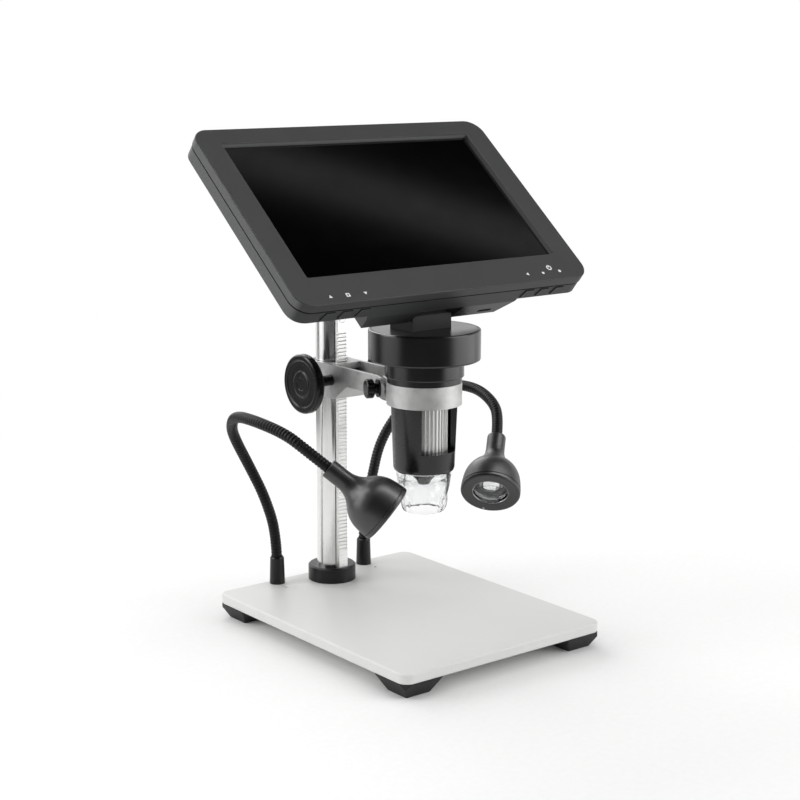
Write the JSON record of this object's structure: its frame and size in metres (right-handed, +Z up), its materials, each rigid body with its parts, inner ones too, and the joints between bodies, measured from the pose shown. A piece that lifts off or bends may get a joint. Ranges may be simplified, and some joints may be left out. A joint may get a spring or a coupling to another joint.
{
  "type": "lcd digital microscope",
  "caption": "Bench microscope with a tilting monitor on a camera tube, a rack column, a flat stage and gooseneck lamps.",
  "frame": {"origin": "on the supporting surface, under the middle of the base plate", "axes": "+Z up, +X to the user's right along the front edge, -Y towards the user"},
  "size_m": [0.1872, 0.1651, 0.2643],
  "materials": {
    "plate_paint": "satin",
    "foot_rubber": "matt",
    "screw_steel": "satin",
    "column_aluminium": "satin",
    "rack_steel": "milled",
    "black_metal": "satin",
    "cast_bracket": "as cast",
    "bush_brass": "turned",
    "bush_grey": "turned",
    "pinion_steel": "milled",
    "knob_black": "satin gloss",
    "tube_black": "fine satin",
    "disc_black": "fine satin",
    "hood_clear": "clear plastic",
    "wheel_silver": "ribbed satin",
    "lens_glass": "coated",
    "circuit_board": "solder mask",
    "led_white": "clear",
    "bezel_grey": "fine matt",
    "screen_glass": "dark glossy",
    "panel_metal": "folded",
    "battery_wrap": "film",
    "lamp_black": "satin gloss",
    "hose_black": "ribbed",
    "reflector_chrome": "mirror"
  },
  "bodies": {
    "base": {"base_plate": "plate_paint", "corner_feet": "foot_rubber", "foot_screws": "screw_steel", "column_tube": "column_aluminium", "gear_rack": "rack_steel", "rack_screws": "screw_steel", "column_collar": "black_metal", "column_cap": "black_metal", "column_bolt": "screw_steel", "lamp_sockets": "black_metal", "socket_nuts": "screw_steel"},
    "carriage": {"carriage_bracket": "cast_bracket", "guide_bush": "bush_grey", "pinion_bushes": "bush_grey"},
    "pinion": {"pinion_gear": "pinion_steel", "left_focus_knob": "knob_black", "right_focus_knob": "knob_black"},
    "clamp": {"clamp_screw": "screw_steel", "clamp_knob": "knob_black"},
    "scope": {"tube_shell": "tube_black", "disc_housing": "disc_black", "disc_lid": "disc_black", "sensor_board": "circuit_board", "led_ring_board": "circuit_board", "ring_leds": "led_white", "clear_hood": "hood_clear", "hinge_post": "disc_black"},
    "focus": {"focus_wheel": "wheel_silver"},
    "lens": {"lens_barrel": "black_metal", "lens_elements": "lens_glass"},
    "monitor": {"hinge_pin": "screw_steel", "friction_washers": "screw_steel", "front_bezel": "bezel_grey", "rear_shell": "bezel_grey", "screen_glass": "screen_glass", "lcd_panel": "panel_metal", "main_board": "circuit_board", "battery": "battery_wrap", "card_reader": "panel_metal", "switch_boards": "circuit_board", "case_screws": "screw_steel"},
    "key_1": {"key_1": "bezel_grey"},
    "key_2": {"key_2": "bezel_grey"},
    "key_3": {"key_3": "bezel_grey"},
    "key_4": {"key_4": "bezel_grey"},
    "key_5": {"key_5": "bezel_grey"},
    "key_6": {"key_6": "bezel_grey"},
    "left_arm": {"left_lamp_hose": "hose_black"},
    "left_lamp": {"left_lamp_shell": "lamp_black", "left_lamp_ring": "lamp_black", "left_lamp_lens": "lens_glass", "left_lamp_reflector": "reflector_chrome", "left_lamp_emitter": "led_white"},
    "right_arm": {"right_lamp_hose": "hose_black"},
    "right_lamp": {"right_lamp_shell": "lamp_black", "right_lamp_ring": "lamp_black", "right_lamp_lens": "lens_glass", "right_lamp_reflector": "reflector_chrome", "right_lamp_emitter": "led_white"}
  },
  "joints": [
    {"name": "carriage_slide", "type": "slide", "parent": "base", "child": "carriage", "axis": [0, 0, 1], "range_m": [-0.048, 0.022]},
    {"name": "pinion_turn", "type": "hinge", "parent": "carriage", "child": "pinion", "pos_m": [0, 0.05186, 0.1295], "axis": [1, 0, 0], "range_deg": [-335, 720]},
    {"name": "clamp_screw_turn", "type": "hinge", "parent": "carriage", "child": "clamp", "pos_m": [-0.01261, 0.0067, 0.1324], "axis": [-0.9291, 0.3697, 0], "range_deg": [-180, 180]},
    {"name": "scope_swivel", "type": "hinge", "parent": "carriage", "child": "scope", "pos_m": [0, -0.015, 0.1295], "axis": [0, 0, 1], "range_deg": [-45, 45]},
    {"name": "focus_turn", "type": "hinge", "parent": "scope", "child": "focus", "pos_m": [0, -0.015, 0.118], "axis": [0, 0, 1], "range_deg": [-180, 240]},
    {"name": "lens_slide", "type": "slide", "parent": "scope", "child": "lens", "axis": [0, 0, 1], "range_m": [-0.003, 0.004]},
    {"name": "monitor_tilt", "type": "hinge", "parent": "scope", "child": "monitor", "pos_m": [0, -0.0144, 0.182], "axis": [-1, 0, 0], "range_deg": [-40, 30]},
    {"name": "key_1_press", "type": "slide", "parent": "monitor", "child": "key_1", "axis": [0, 0.7738, 0.6334], "range_m": [0, 0.0006], "stiffness_N_per_m": 400},
    {"name": "key_2_press", "type": "slide", "parent": "monitor", "child": "key_2", "axis": [0, 0.7738, 0.6334], "range_m": [0, 0.0006], "stiffness_N_per_m": 400},
    {"name": "key_3_press", "type": "slide", "parent": "monitor", "child": "key_3", "axis": [0, 0.7738, 0.6334], "range_m": [0, 0.0006], "stiffness_N_per_m": 400},
    {"name": "key_4_press", "type": "slide", "parent": "monitor", "child": "key_4", "axis": [0, 0.7738, 0.6334], "range_m": [0, 0.0006], "stiffness_N_per_m": 400},
    {"name": "key_5_press", "type": "slide", "parent": "monitor", "child": "key_5", "axis": [0, 0.7738, 0.6334], "range_m": [0, 0.0006], "stiffness_N_per_m": 400},
    {"name": "key_6_press", "type": "slide", "parent": "monitor", "child": "key_6", "axis": [0, 0.7738, 0.6334], "range_m": [0, 0.0006], "stiffness_N_per_m": 400},
    {"name": "left_arm_swing", "type": "hinge", "parent": "base", "child": "left_arm", "pos_m": [-0.03, 0.0765, 0.0195], "axis": [0, 0, 1], "range_deg": [-35, 3]},
    {"name": "left_lamp_tilt", "type": "hinge", "parent": "left_arm", "child": "left_lamp", "pos_m": [-0.056, -0.0081, 0.0995], "axis": [0.6799, 0.7333, 0], "range_deg": [-20, 20], "deforming": ["left_lamp_hose"]},
    {"name": "right_arm_swing", "type": "hinge", "parent": "base", "child": "right_arm", "pos_m": [0.03, 0.0765, 0.0195], "axis": [0, 0, -1], "range_deg": [-35, 3]},
    {"name": "right_lamp_tilt", "type": "hinge", "parent": "right_arm", "child": "right_lamp", "pos_m": [0.056, -0.0081, 0.0995], "axis": [0.6799, -0.7333, 0], "range_deg": [-20, 20], "deforming": ["right_lamp_hose"]}
  ],
  "couplings": [
    {"joint": "pinion_turn", "follows": "carriage_slide", "rad_per_m": -260.42},
    {"joint": "lens_slide", "follows": "focus_turn", "m_per_rad": 0.0008}
  ]
}
